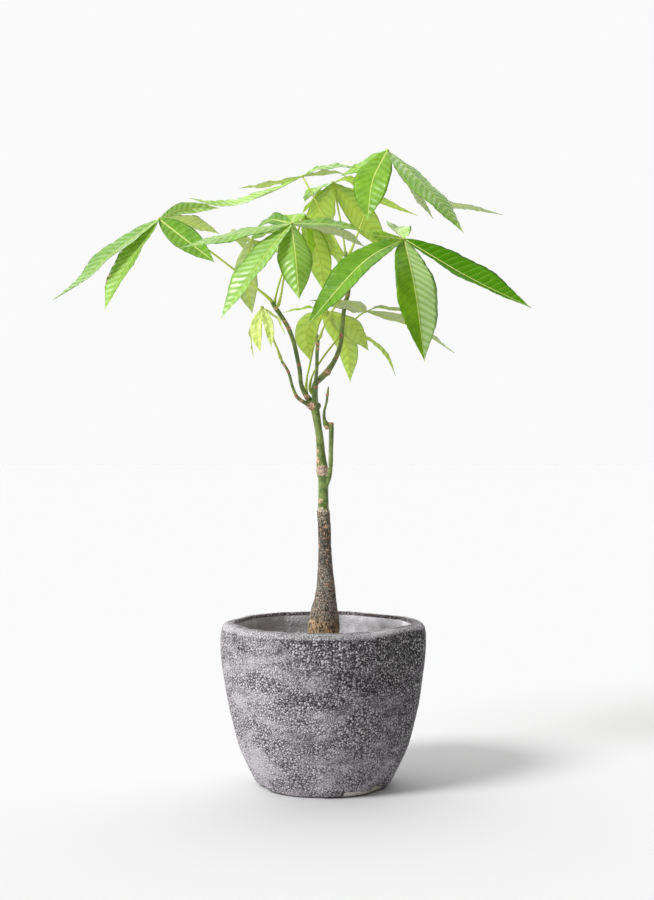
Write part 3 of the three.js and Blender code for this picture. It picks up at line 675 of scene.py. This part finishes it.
def make_pot(materials):
    bm = bmesh.new()
    wall = eased(POT_OUTLINE + POT_INSIDE, POT_ROWS)
    spun(bm, [(0, 0), (30, 0), (60, 0), *wall, (40, POT_FLOOR), (0, POT_FLOOR)], POT_TURNS)
    chipped, rust_and_shade_line, inner, painted_light_on_lip, painted_shade_under_lip = new_attributes(
        bm, "chipped", "rust_and_shade_line", "inner_wall", "painted_light_on_lip", "painted_shade_under_lip",
    )
    for vert in bm.verts:
        x, y, height = vert.co
        radius = math.hypot(x, y)
        if radius < 1:
            continue
        azimuth = math.atan2(y, x)
        lip = height > LIP_FROM
        inside = height > POT_FLOOR - 0.5 and radius < INSIDE_REACH
        inside = inside and (lip or radius < outer_radius(height) - THINNEST_WALL)
        share = smooth_step(*HEWN_INSIDE, height) if inside else 1.0
        reach = share * smooth_step(UNHEWN_RADIUS, HEWN_RADIUS, radius)
        out = Vector((x / radius, y / radius, 0))
        spot = Vector((x, y, height))
        coarse = noise.fractal(spot * 0.045, 0.9, 2.1, 3)
        fine = noise.fractal(spot * 0.28, 0.8, 2.2, 3)
        rough = ROUGH_COARSE * coarse + ROUGH_FINE * fine if height >= 1 else 0
        if inside:
            rough *= ROUGH_INSIDE
        vert.co = out * (radius + hewn(azimuth, height) * reach + rough + (HELD_OUT if inside else -HELD_IN))
        top = smooth_step(*LIP_WORN, height)
        vert.co.z = height - top * (0.35 + 0.35 * noise.noise(spot * 0.12) + 0.25 * noise.noise(spot * 0.5))

        degrees = math.degrees(azimuth)
        wander = noise.noise(spot * 0.11) + 0.6 * noise.noise(spot * 0.4)
        unbroken = min(max(0.75 + 0.8 * wander, 0), 1)
        foot_band = smooth_step(*(edge + 2.5 * wander for edge in FOOT_BAND), height) * (radius > FOOT_RADIUS)
        vert[chipped] = foot_band * band(degrees, *CHIPPED_ARC) * smooth_step(*FOOT_CLEAR, height)
        back, flat = band(degrees, *BACK_ARC), band(degrees, *FLAT_ARC)
        # A dark line along the lip's inner edge: rust at the back, painted shade in the crevice at the front
        back_line = near_line(radius, *BACK_LINE) * smooth_step(*BACK_LINE_FROM, height)
        front_line = smooth_step(*FRONT_LINE, radius) * smooth_step(*FRONT_LINE_FROM, height) * (1 - back)
        vert[rust_and_shade_line] = max(back_line * max(back, 0.8 * flat), 0.75 * front_line) * unbroken
        vert[inner] = inside and not lip
        if inside:
            continue
        ragged = height + 1.2 * wander - 1.5 * flat
        # Painted light: the top of the lip is laid paler, most of all on the corner face
        vert[painted_light_on_lip] = smooth_step(*LIP_PALE, ragged) * (0.55 + 0.45 * band(degrees, *CORNER_ARC))
        # Painted shade below the lip at the front, and a thin painted shadow line just under the lip band
        shaded = smooth_step(*LIP_SHADE, height) * smooth_step(150, 178, height + 9 * wander)
        vert[painted_shade_under_lip] = max(shaded * band(degrees, *SHADED_ARC), near_line(ragged, *LIP_SHADOW_LINE) * unbroken)
    put_down(bm, "stone_planter", "pot", materials)


def make_soil(materials):
    rng = random.Random(SOIL_SEED)
    bm = bmesh.new()
    top = eased(SOIL_TOP, SOIL_ROWS)
    hole = [(SOIL_HOLE, 150), (SOIL_HOLE, SOIL_HOLE_FLOOR), (0, SOIL_HOLE_FLOOR)]
    spun(bm, [(0, SOIL_WALL[0][1]), *SOIL_WALL, *top, *hole], SOIL_TURNS)
    for vert in bm.verts:
        x, y, height = vert.co
        radius = math.hypot(x, y)
        if height > 165 and radius < 111:
            edge = smooth_step(111.4, 104, radius) * smooth_step(SOIL_HOLE, 26, radius)
            spot = Vector((x, y, 0))
            lift = 1.6 * noise.fractal(spot * 0.06, 0.8, 2, 3) + 1.3 * noise.fractal(spot * 0.3, 0.7, 2.2, 2)
            vert.co.z = height - SOIL_LOWERED + edge * min(lift, SOIL_HIGHEST)
    for _ in range(CRUMBS):
        distance = math.sqrt(rng.uniform(CRUMBS_FROM ** 2, CRUMBS_TO ** 2))
        angle = rng.uniform(0, math.tau)
        size = rng.choice(CRUMB_SIZES)
        ground = CRUMB_LEVEL - CRUMB_FALL * smooth_step(90, 111, distance)
        centre = Vector((distance * math.cos(angle), distance * math.sin(angle), ground - 0.35 * size))
        squash = Matrix.Diagonal((rng.uniform(0.8, 1.3), rng.uniform(0.7, 1.1), rng.uniform(0.5, 0.8), 1))
        turn = Matrix.Rotation(rng.uniform(0, math.pi), 4, "Z")
        matrix = Matrix.Translation(centre) @ turn @ squash
        bmesh.ops.create_icosphere(bm, subdivisions=1, radius=size, matrix=matrix)
    put_down(bm, "potting_soil", "soil", materials)


def skin_over(bm, voxel):
    """The one skin round all the overlapping solids of a mesh, as a mesh in millimetres."""
    mesh = bpy.data.meshes.new("skin")
    bm.to_mesh(mesh)
    bm.free()
    body = in_scene("skin", mesh)
    remesh = body.modifiers.new("skin", "REMESH")
    remesh.mode = "VOXEL"
    remesh.voxel_size = voxel
    remesh.adaptivity = 0
    graph = bpy.context.evaluated_depsgraph_get()
    finished = bmesh.new()
    finished.from_mesh(bpy.data.meshes.new_from_object(body.evaluated_get(graph)))
    bpy.data.objects.remove(body)
    bpy.data.meshes.remove(mesh)
    return finished


def make_tree(materials):
    bm = bmesh.new()
    tube(bm, TRUNK_FOOT + TRUNK, TRUNK_SIDES, LIMB_ROWS)
    for stations in LIMBS.values():
        tube(bm, stations, LIMB_SIDES, LIMB_ROWS)
    for place, radius in SCAR_KNOBS:
        bmesh.ops.create_icosphere(bm, subdivisions=3, radius=radius, matrix=Matrix.Translation(place))
    bmesh.ops.recalc_face_normals(bm, faces=bm.faces)
    bm = skin_over(bm, STEM_FINENESS)
    for _ in range(STEM_SMOOTHINGS):
        bmesh.ops.smooth_vert(
            bm, verts=bm.verts, factor=0.5, use_axis_x=True, use_axis_y=True, use_axis_z=True,
        )
    bm.normal_update()
    scar, redness, bark, cork = new_attributes(bm, "scar", "redness", "bark", "cork")
    marks = [(Vector(place), radius, rise, red) for place, radius, rise, red in SCARS]
    lifts = []
    for vert in bm.verts:
        spot = vert.co
        wander = noise.noise(spot * 0.3) + 0.5 * noise.noise(spot * 0.8)
        fleck = noise.noise(spot * 1.3)
        ring = 0
        if math.hypot(spot.x + 1.5, spot.y) < CORK_REACH:
            level = spot.z + 3 * wander + 1.5 * fleck
            ring = band(level, CORK_LOW - 2, CORK_LOW, CORK_HIGH, CORK_HIGH + 2)
        old = smooth_step(BARK_TOP + 2.5, BARK_TOP - 2, spot.z + 5 * wander + 2 * fleck)
        lift, mark, red = 0.0, 0.0, 0.0
        for place, radius, rise, how_red in marks:
            reach = radius * SCAR_REACH
            if abs(spot.z - place.z) > reach or abs(spot.x - place.x) > reach:
                continue
            aside = spot - place
            aside.z *= 1.25
            away = aside.length * (1 + 0.35 * fleck)
            if away > reach:
                continue
            part = smooth_step(reach, radius * 0.75, away + 0.5 * wander)
            lift += rise * part - 0.5 * rise * smooth_step(radius * 0.7, 0, away)
            if part > mark:
                mark, red = part, how_red
        grooves = noise.fractal(Vector((spot.x * 0.5, spot.y * 0.5, spot.z * 0.14)), 0.8, 2.1, 3)
        lift += old * (0.4 * grooves + 0.35 * fleck) + ring * 0.5 * fleck + 0.12 * wander
        ribbed = max(0, noise.noise(Vector((spot.x * 0.4, spot.y * 0.4, spot.z * 0.07))))
        lift -= smooth_step(*FOOT_RIBS, spot.z) * 0.7 * ribbed
        vert[scar], vert[redness], vert[bark], vert[cork] = mark, red, old, ring
        lifts.append((vert, vert.normal * lift))
    for vert, lift in lifts:
        if vert.co.z > PLAIN_BELOW:
            vert.co += lift
    put_down(bm, "grown_stem", "tree", materials)


class Value:
    """What one socket of a node gives, to be reckoned with like a number."""

    def __init__(self, tree, socket):
        self.tree, self.socket = tree, socket

    def step(self, operation, first, second=0.0):
        return add_node(self.tree, "ShaderNodeMath", {"operation": operation}, i0=first, i1=second)[0]

    def __add__(self, other):
        return self.step("ADD", self, other)

    def __sub__(self, other):
        return self.step("SUBTRACT", self, other)

    def __rsub__(self, other):
        return self.step("SUBTRACT", other, self)

    def __mul__(self, other):
        return self.step("MULTIPLY", self, other)

    def __abs__(self):
        return self.step("ABSOLUTE", self)

    def past_whole(self):
        return self.step("FRACT", self)

    def at_most(self, most):
        return self.step("MINIMUM", self, most)

    def between(self, low, high, start=0.0, end=1.0):
        """A smooth step from low to high."""
        return add_node(
            self.tree, "ShaderNodeMapRange", {"interpolation_type": "SMOOTHSTEP"},
            Value=self, From_Min=low, From_Max=high, To_Min=start, To_Max=end,
        )["Result"]


class Outputs:
    """The outputs of a node as values, by name or number."""

    def __init__(self, tree, node):
        self.tree, self.node = tree, node

    def __getitem__(self, key):
        return Value(self.tree, self.node.outputs[key])


def add_node(tree, kind, settings=None, **inputs):
    """A node with its settings made and its inputs set or joined, by name with _ for a space."""
    node = tree.nodes.new(kind)
    for key, value in (settings or {}).items():
        setattr(node, key, value)
    for key, value in inputs.items():
        numbered = key[0] == "i" and key[1:].isdigit()
        socket = node.inputs[int(key[1:]) if numbered else key.replace("_", " ")]
        if isinstance(value, Value):
            tree.links.new(value.socket, socket)
        else:
            socket.default_value = value
    return Outputs(tree, node)


def painted(ground, *layers):
    """Colours laid over a ground in turn, each with its share; plain colours are 0 to 255."""
    for share, colour in layers:
        under, over = (tint(*one) if isinstance(one, tuple) else one for one in (ground, colour))
        ground = add_node(share.tree, "ShaderNodeMix", {"data_type": "RGBA"}, i0=share, i6=under, i7=over)[2]
    return ground


def attribute(tree, name):
    return add_node(tree, "ShaderNodeAttribute", {"attribute_name": name})["Fac"]


def place_of(tree, scale=(1, 1, 1), turn=(0, 0, 0)):
    where = add_node(tree, "ShaderNodeTexCoord")["Object"]
    return add_node(tree, "ShaderNodeMapping", Vector=where, Scale=scale, Rotation=turn)[0]


def clouds(where, scale, detail, rough, bend=0.0):
    return add_node(
        where.tree, "ShaderNodeTexNoise",
        Vector=where, Scale=scale, Detail=detail, Roughness=rough, Distortion=bend,
    )["Fac"]


def cells_of(where, scale, feature="F1"):
    return add_node(
        where.tree, "ShaderNodeTexVoronoi", {"feature": feature}, Vector=where, Scale=scale, Randomness=0.9,
    )


def new_group(name, inputs, outputs):
    """An empty node group that takes and gives numbers."""
    tree = bpy.data.node_groups.new(name, "ShaderNodeTree")
    for label, value in inputs.items():
        socket = tree.interface.new_socket(label, in_out="INPUT", socket_type="NodeSocketFloat")
        socket.default_value = value
    for label in outputs:
        tree.interface.new_socket(label, in_out="OUTPUT", socket_type="NodeSocketFloat")
    return tree, Outputs(tree, tree.nodes.new("NodeGroupInput"))


def close_group(tree, *results):
    end = tree.nodes.new("NodeGroupOutput")
    for socket, value in zip(end.inputs, results):
        tree.links.new(value.socket, socket)
    return tree


def place_group(tree, group, **inputs):
    return add_node(tree, "ShaderNodeGroup", {"node_tree": group}, **inputs)


def speckle_group():
    """Small rounded grains with dark gaps between them, over a cloudy ground."""
    tree, given = new_group(
        "grains and clouds", {"Grain Size": 400.0, "Cloud Size": 20.0},
        ("Grains", "Gaps", "Clouds", "Dust", "Relief"),
    )
    where = place_of(tree)
    size = given["Grain Size"]
    cells = cells_of(where, size)
    borders = cells_of(where, size, "DISTANCE_TO_EDGE")["Distance"]
    bright = add_node(tree, "ShaderNodeSeparateColor", Color=cells["Color"])[0]
    uneven = clouds(where, size * 1.2, 2, 0.5)
    grains = cells["Distance"].between(0.48, 0.32) * (uneven * 1.2 + bright).between(0.75, 1.35)
    gaps = (uneven * 0.5 + borders).between(0.46, 0.3)
    dust = clouds(where, size * 2.2, 2, 0.6)
    relief = dust * 0.35 + cells["Distance"].between(0.7, 0.05)
    return close_group(tree, grains, gaps, clouds(where, given["Cloud Size"], 5, 0.6, 0.4), dust, relief)


def rib_group():
    """Midrib, side veins and the quilting between them, from the leaflet's own measures."""
    tree, given = new_group(
        "leaf ribs", {"Midrib Width": 0.9, "Vein Width": 0.07},
        ("Midrib", "Veins", "Quilt", "Mottle", "Stripes", "Streaks"),
    )
    names = ("along_leaf", "from_midrib", "vein_phase", "to_edge")
    along, off, phase, edge = (attribute(tree, name) for name in names)
    where = place_of(tree)
    midrib = (off - given["Midrib Width"] * (along * -0.75 + 1.0)).between(0.35, -0.2)
    turn = phase.past_whole()
    from_vein = 0.5 - abs(turn - 0.5)
    line = (from_vein - given["Vein Width"]).between(0.04, -0.03)
    veins = line * (edge.between(0.98, 0.6) * along.between(0.99, 0.85))
    patchy = clouds(where, 130, 3, 0.6).between(0.3, 0.6, 0.25, 1.0)
    # Stripes: one side of each quilt, where the sheen is painted in and the coat is glossy
    stripes = turn.between(0.12, 0.42) * turn.between(0.92, 0.6) * patchy * edge.between(1.0, 0.8)
    lengthwise = add_node(tree, "ShaderNodeCombineXYZ", X=off * 0.9, Y=along)[0]
    streaks = clouds(lengthwise, 3.5, 4, 0.65)
    mottle = clouds(where, 60, 4, 0.6)
    return close_group(tree, midrib, veins, from_vein.between(0.0, 0.5), mottle, stripes, streaks)


def new_material(name):
    material = bpy.data.materials.new(name)
    material.use_nodes = True
    material.node_tree.nodes.clear()
    return material, material.node_tree


def finished(material, shader):
    tree = material.node_tree
    tree.links.new(shader.socket, tree.nodes.new("ShaderNodeOutputMaterial").inputs["Surface"])
    return material


def raised(height, strength, depth):
    return add_node(height.tree, "ShaderNodeBump", Strength=strength, Distance=depth, Height=height)["Normal"]


def skin(tree, **inputs):
    return add_node(tree, "ShaderNodeBsdfPrincipled", **inputs)[0]


def mixed(tree, share, first, second):
    return add_node(tree, "ShaderNodeMixShader", i0=share, i1=first, i2=second)[0]


def leaf_material(
    name, ribs, deep, fresh, vein, midrib, glow, thin, gloss, quilted, veined, shiny=0.0, grey_sheen=0.0,
    streaked=0.0,
):
    """A leaf side: deep and fresh colour, side veins, midrib, and the light that comes through.

    The creases of the quilting carry painted shade, and the sheen is painted in as a pale wash.
    """
    material, tree = new_material(name)
    rib = place_group(tree, ribs)
    mottle = rib["Mottle"]
    tone, sheen = attribute(tree, "leaf_tone"), attribute(tree, "leaf_sheen")
    burnt = painted((128, 78, 40), (mottle.between(0.4, 0.6), (246, 196, 164)))
    shine = rib["Stripes"] * sheen * shiny
    ground = painted(
        deep,
        (((mottle - 0.5) * 0.9 + tone).between(-0.1, 0.9), fresh),
        # Painted shade in the creases of the quilting, along the side veins
        ((1.0 - rib["Quilt"]) * quilted, deep),
        (rib["Streaks"].between(0.42, 0.6) * streaked, (248, 250, 214)),
        # Painted sheen: a grey-green haze where the sheen is strong
        (sheen * grey_sheen, (178, 190, 158)),
        (rib["Veins"] * veined, vein),
        (rib["Midrib"], midrib),
        ((attribute(tree, "leaf_damage") + mottle).between(0.75, 1.0), burnt),
        # Painted sheen: a pale wash, strongest on the stripes of the quilts
        ((shine * 0.2 + sheen * (0.13 * shiny)).at_most(0.62), (226, 248, 184)),
    )
    bump = raised(rib["Quilt"] * 0.6 + mottle * 0.5, 0.5, 0.0005)
    front = skin(
        tree, Base_Color=ground, Roughness=mottle.between(0.3, 0.7, gloss - 0.05, gloss + 0.08), Normal=bump,
        Specular_IOR_Level=0.22, Coat_Weight=shine.at_most(0.8), Coat_IOR=1.65, Coat_Roughness=0.3,
    )
    warm = painted(ground, (tone.between(-0.1, 0.8, 0.2, 0.6), glow))
    back_light = add_node(tree, "ShaderNodeBsdfTranslucent", Color=warm, Normal=bump)[0]
    share = tone.between(-0.4, 0.6, 0.5 * thin, thin) * sheen.between(0.4, 1.0, 1.0, 0.3)
    both = mixed(tree, share, front, back_light)
    lets_through = add_node(tree, "ShaderNodeBsdfTransparent", Color=LEAF_LETS_THROUGH)[0]
    shadow = add_node(tree, "ShaderNodeLightPath")["Is Shadow Ray"]
    return finished(material, mixed(tree, shadow, both, lets_through))


def stalk_material():
    material, tree = new_material("leaf stalk")
    streak = clouds(place_of(tree, (1, 1, 0.25)), 500, 3, 0.6)
    share = streak * 0.5 + clouds(place_of(tree), 40, 3, 0.6) * 0.6
    ground = painted((200, 216, 92), (share.between(0.35, 0.75), (152, 172, 62)))
    return finished(
        material, skin(tree, Base_Color=ground, Normal=raised(streak, 0.3, 0.0003), Roughness=0.5),
    )


def stone_material(grains):
    material, tree = new_material("rough grey stone")
    where = place_of(tree)
    parts = add_node(tree, "ShaderNodeSeparateXYZ", Vector=where)
    side, height = parts["X"], parts["Z"]
    coarse = place_group(tree, grains, Grain_Size=295.0, Cloud_Size=34.0)
    fine = place_group(tree, grains, Grain_Size=540.0, Cloud_Size=90.0)
    lip, inner = attribute(tree, "painted_light_on_lip"), attribute(tree, "inner_wall")
    # Diagonal bands: partly the stone's own mottling, partly painted light and shade of shallow dents in the
    # wall
    banded = clouds(place_of(tree, (0.5, 0.5, 1.7), (0.0, 0.42, 0.0)), 30, 7, 0.72, 1.0)
    # Painted light: the pale mottling is laid thicker to the left, where the window light falls, and low down
    painted_light_left_and_low = height * -0.9 + (side * -0.95 + 0.105)
    mottle_and_painted_light = (painted_light_left_and_low + (coarse["Clouds"] * 0.3 + banded * 0.7)).between(0.345, 0.655)
    regions = clouds(place_of(tree, (0.6, 0.6, 1.3), (0.0, -0.5, 0.0)), 18, 5, 0.65, 0.6)
    grainy = regions.between(0.38, 0.56, 0.2, 1.0) * (lip * -0.7 + 1.0)
    pits = add_node(tree, "ShaderNodeTexVoronoi", Vector=where, Scale=85.0)["Distance"]
    inner_grey = painted(
        (206, 205, 210),
        (clouds(where, 60, 4, 0.6).between(0.35, 0.7), (238, 236, 242)),
        (pits.between(0.09, 0.05) * 0.8, (58, 54, 54)),
        (fine["Gaps"] * 0.35, (108, 106, 108)),
    )
    cream = painted((196, 190, 176), (clouds(where, 260, 3, 0.6), (236, 232, 220)))
    ground = painted(
        (60, 56, 63),
        (mottle_and_painted_light, (222, 216, 223)),
        # Painted shade under the lip
        (attribute(tree, "painted_shade_under_lip") * 0.6, (38, 36, 39)),
        # Painted light on the top of the lip
        (lip * 0.85, (232, 227, 232)),
        (coarse["Gaps"] * grainy * 0.9, (12, 11, 13)),
        (coarse["Grains"] * grainy * 0.8, (246, 242, 244)),
        (fine["Gaps"] * 0.6, (26, 24, 27)),
        (fine["Grains"] * 0.5, (224, 220, 222)),
        (inner, inner_grey),
        # Rust at the back of the lip's inner edge, painted shade at the front
        (attribute(tree, "rust_and_shade_line"), (62, 48, 44)),
        ((coarse["Dust"] * 0.002 + height).between(0.003, 0.0016, 0, 0.7), (96, 68, 56)),
        (attribute(tree, "chipped").between(0.35, 0.6), cream),
    )
    relief = (fine["Relief"] * 0.35 + coarse["Relief"] * grainy) * (inner * -0.7 + 1.0)
    return finished(
        material, skin(tree, Base_Color=ground, Normal=raised(relief, 0.8, 0.0018), Roughness=0.92),
    )


def soil_material(grains):
    material, tree = new_material("dark potting soil")
    speckle = place_group(tree, grains, Grain_Size=520.0, Cloud_Size=45.0)
    ground = painted(
        (44, 33, 25),
        (speckle["Clouds"].between(0.35, 0.65), (86, 66, 50)),
        (speckle["Grains"] * 0.35, (128, 104, 80)),
    )
    bump = raised(speckle["Relief"], 0.8, 0.001)
    return finished(material, skin(tree, Base_Color=ground, Normal=bump, Roughness=0.95))


def dots(tree, scale, stretch, share, size):
    """Small dots strewn at random: about the given share of the cells holds one."""
    cells = add_node(
        tree, "ShaderNodeTexVoronoi", Vector=place_of(tree, (1, 1, stretch)), Scale=scale, Randomness=1.0,
    )
    chance = add_node(tree, "ShaderNodeSeparateColor", Color=cells["Color"])[1]
    return cells["Distance"].between(size, size * 0.6) * chance.between(1 - share, 1.04 - share)


def stem_material(grains):
    material, tree = new_material("green stem and brown bark")
    where = place_of(tree)
    speckle = place_group(tree, grains, Grain_Size=900.0, Cloud_Size=60.0)
    streak = clouds(place_of(tree, (1, 1, 0.22)), 420, 3, 0.6)
    patch = clouds(where, 60, 5, 0.7, 0.5)
    flaky = clouds(where, 420, 3, 0.7)
    rings = clouds(place_of(tree, (0.35, 0.35, 1.5)), 260, 3, 0.65, 0.4)
    pits = clouds(place_of(tree, (1, 1, 0.5)), 520, 3, 0.7)
    height = add_node(tree, "ShaderNodeSeparateXYZ", Vector=where)["Z"]
    bark = attribute(tree, "bark")
    green = painted(
        (70, 96, 34),
        (patch.between(0.36, 0.64), (122, 140, 70)),
        (streak.between(0.58, 0.75, 0, 0.45), (160, 170, 128)),
        (dots(tree, 380, 0.7, 0.16, 0.3) * 0.7, (176, 160, 126)),
    )
    rusty = painted((44, 33, 26), (pits.between(0.42, 0.58), (236, 194, 142)))
    foot = (patch * 0.05 + height).between(0.244, 0.218)
    brown = painted(
        (44, 40, 34),
        (patch.between(0.34, 0.66), (96, 87, 75)),
        (rings.between(0.55, 0.68, 0, 0.5), (140, 128, 110)),
        (flaky.between(0.49, 0.36, 0, 0.9), (28, 25, 22)),
        (height.between(0.312, 0.345) * flaky.between(0.47, 0.6) * 0.4, (204, 194, 178)),
        (dots(tree, 640, 1.0, 0.2, 0.5) * 0.8, (212, 207, 197)),
        (dots(tree, 500, 0.8, 0.32, 0.42) * 0.9, (222, 160, 110)),
        (height.between(0.32, 0.25, 0, 0.5) * flaky.between(0.42, 0.58), (176, 166, 152)),
        (foot * pits.between(0.35, 0.6, 0.9, 0.6), rusty),
    )
    crust = (flaky * 0.9 + attribute(tree, "cork")).between(0.75, 1.0)
    worn = flaky.between(0.38, 0.6)
    tan = painted((132, 98, 72), (worn, (226, 196, 160)))
    red = painted((96, 44, 34), (worn, (184, 104, 80)))
    scar = ((flaky - 0.5) * 1.6 + attribute(tree, "scar")).between(0.35, 0.7)
    ground = painted(
        green,
        ((flaky * 0.8 + bark).between(0.7, 0.95), brown),
        (((1.0 - bark) * bark).between(0.03, 0.16) * flaky.between(0.4, 0.55), (214, 198, 176)),
        (crust * 0.92, painted((94, 68, 54), (flaky.between(0.36, 0.56), (212, 182, 162)))),
        (scar * 0.92, painted(tan, (attribute(tree, "redness"), red))),
    )
    relief = (rings + speckle["Relief"]) * bark + streak + flaky * (crust + bark)
    bump = raised(relief, 0.7, 0.0006)
    return finished(material, skin(tree, Base_Color=ground, Normal=bump, Roughness=bark * 0.3 + 0.5))


def window_light(name, towards, spread, strength):
    """Even light from one side, as a large window gives it."""
    lamp = bpy.data.lights.new(name, "SUN")
    lamp.angle = math.radians(spread)
    lamp.energy = strength
    light = in_scene(name, lamp)
    light.rotation_mode = "QUATERNION"
    light.rotation_quaternion = Vector(towards).to_track_quat("-Z", "Y")


def white_room(scene):
    """A white room, brighter behind the plant than before it, with one even white to look at."""
    world = bpy.data.worlds.new("white room")
    scene.world = world
    world.use_nodes = True
    tree = world.node_tree
    tree.nodes.clear()
    towards = add_node(tree, "ShaderNodeTexCoord")["Generated"]
    parts = add_node(tree, "ShaderNodeSeparateXYZ", Vector=towards)
    side, depth = parts["X"], parts["Y"]
    sides = (side * -0.75 + depth * 0.75).between(-0.85, 0.45, ROOM_DARK, ROOM_BRIGHT)
    strength = sides + depth.between(0.1, 0.95, 0.0, ROOM_BEHIND)
    lit = add_node(tree, "ShaderNodeBackground", Strength=strength, Color=(1, 1, 1, 1))[0]
    seen = add_node(tree, "ShaderNodeBackground", Strength=ROOM_SEEN, Color=(1, 1, COOLER, 1))[0]
    eye = add_node(tree, "ShaderNodeLightPath")["Is Camera Ray"]
    room = mixed(tree, eye, lit, seen)
    tree.links.new(room.socket, tree.nodes.new("ShaderNodeOutputWorld").inputs["Surface"])


def make_studio():
    scene = bpy.context.scene
    scene.view_settings.view_transform = "Standard"
    camera = bpy.data.cameras.new("camera")
    camera.lens = CAMERA_LENS
    camera.sensor_width = CAMERA_FRAME
    camera.sensor_fit = "AUTO"
    camera.clip_end = CAMERA_SEES_TO
    eye = in_scene("camera", camera)
    eye.location = CAMERA_PLACE
    eye.rotation_euler = (math.pi / 2, 0, 0)
    scene.camera = eye

    bm = bmesh.new()
    bmesh.ops.create_grid(bm, x_segments=1, y_segments=1, size=FLOOR_HALF)
    mesh = bpy.data.meshes.new("white_floor")
    bm.to_mesh(mesh)
    bm.free()
    floor = in_scene("white_floor", mesh)
    material, tree = new_material("white paper")
    dull = add_node(tree, "ShaderNodeBsdfDiffuse", Color=(PAPER, PAPER, PAPER * COOLER, 1))[0]
    mesh.materials.append(finished(material, dull))

    white_room(scene)
    window_light("key window", KEY_TOWARDS, KEY_SPREAD, KEY_STRENGTH)


def main():
    make_studio()
    grains = speckle_group()
    ribs = rib_group()
    sides = [leaf_material(name, ribs, **looks) for name, looks in LEAF_SIDES.items()]
    stalk = stalk_material()
    make_pot([stone_material(grains)])
    make_soil([soil_material(grains)])
    make_tree([stem_material(grains)])
    for seed, (name, leaf) in enumerate(LEAVES.items(), LEAF_SEED):
        own_sides, slot = (sides[2:], "young_leaf") if name == "leaf_young" else (sides[:2], "leaf")
        grow_leaf(name, leaf, [*own_sides, stalk], seed)


main()
